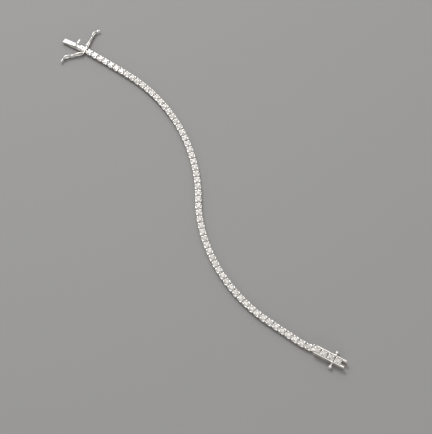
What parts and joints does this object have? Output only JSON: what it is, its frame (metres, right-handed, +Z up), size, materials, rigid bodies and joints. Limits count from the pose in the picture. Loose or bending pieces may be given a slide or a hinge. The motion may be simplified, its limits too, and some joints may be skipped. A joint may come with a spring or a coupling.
{
  "type": "tennis bracelet",
  "caption": "Open tennis bracelet of small stone-set box links, lying in a long S, with a spring-tongue box clasp and two hinged figure-eight safety catches.",
  "frame": {"origin": "middle of the whole bracelet's bounding box, on the surface that it lies on", "axes": "+Z up from the surface. +Y from the clasp box's end of the S to the tongue's end. +X to the right of that, so the box lies at +X and -Y and the tongue at -X and +Y."},
  "size_m": [0.1102, 0.1438, 0.0061],
  "materials": {
    "white_gold": "polished, rhodium plated white gold",
    "diamond": "faceted and polished, colourless"
  },
  "bodies": {
    "bracelet": {"end_link_with_tongue": "white_gold", "end_link_stone": "diamond", "chain_run_1": "white_gold", "chain_run_2": "white_gold", "chain_run_3": "white_gold", "chain_run_4": "white_gold", "chain_run_5": "white_gold", "chain_run_6": "white_gold", "chain_run_7": "white_gold", "chain_run_8": "white_gold", "chain_run_9": "white_gold", "chain_run_10": "white_gold", "chain_run_11": "white_gold", "chain_run_12": "white_gold", "clasp_box": "white_gold", "clasp_box_stone_1": "diamond", "clasp_box_stone_2": "diamond", "clasp_box_stone_3": "diamond", "clasp_box_stone_4": "diamond"},
    "left_catch": {"safety_catch_left": "white_gold"},
    "right_catch": {"safety_catch_right": "white_gold"}
  },
  "joints": [
    {"name": "left_catch_swing", "type": "hinge", "parent": "bracelet", "child": "left_catch", "pos_m": [-0.04455, 0.06363, 0.0012], "axis": [0, 0, -1], "range_deg": [-82, 63]},
    {"name": "right_catch_swing", "type": "hinge", "parent": "bracelet", "child": "right_catch", "pos_m": [-0.04631, 0.06038, 0.0012], "axis": [0, 0, 1], "range_deg": [-43, 102]}
  ]
}
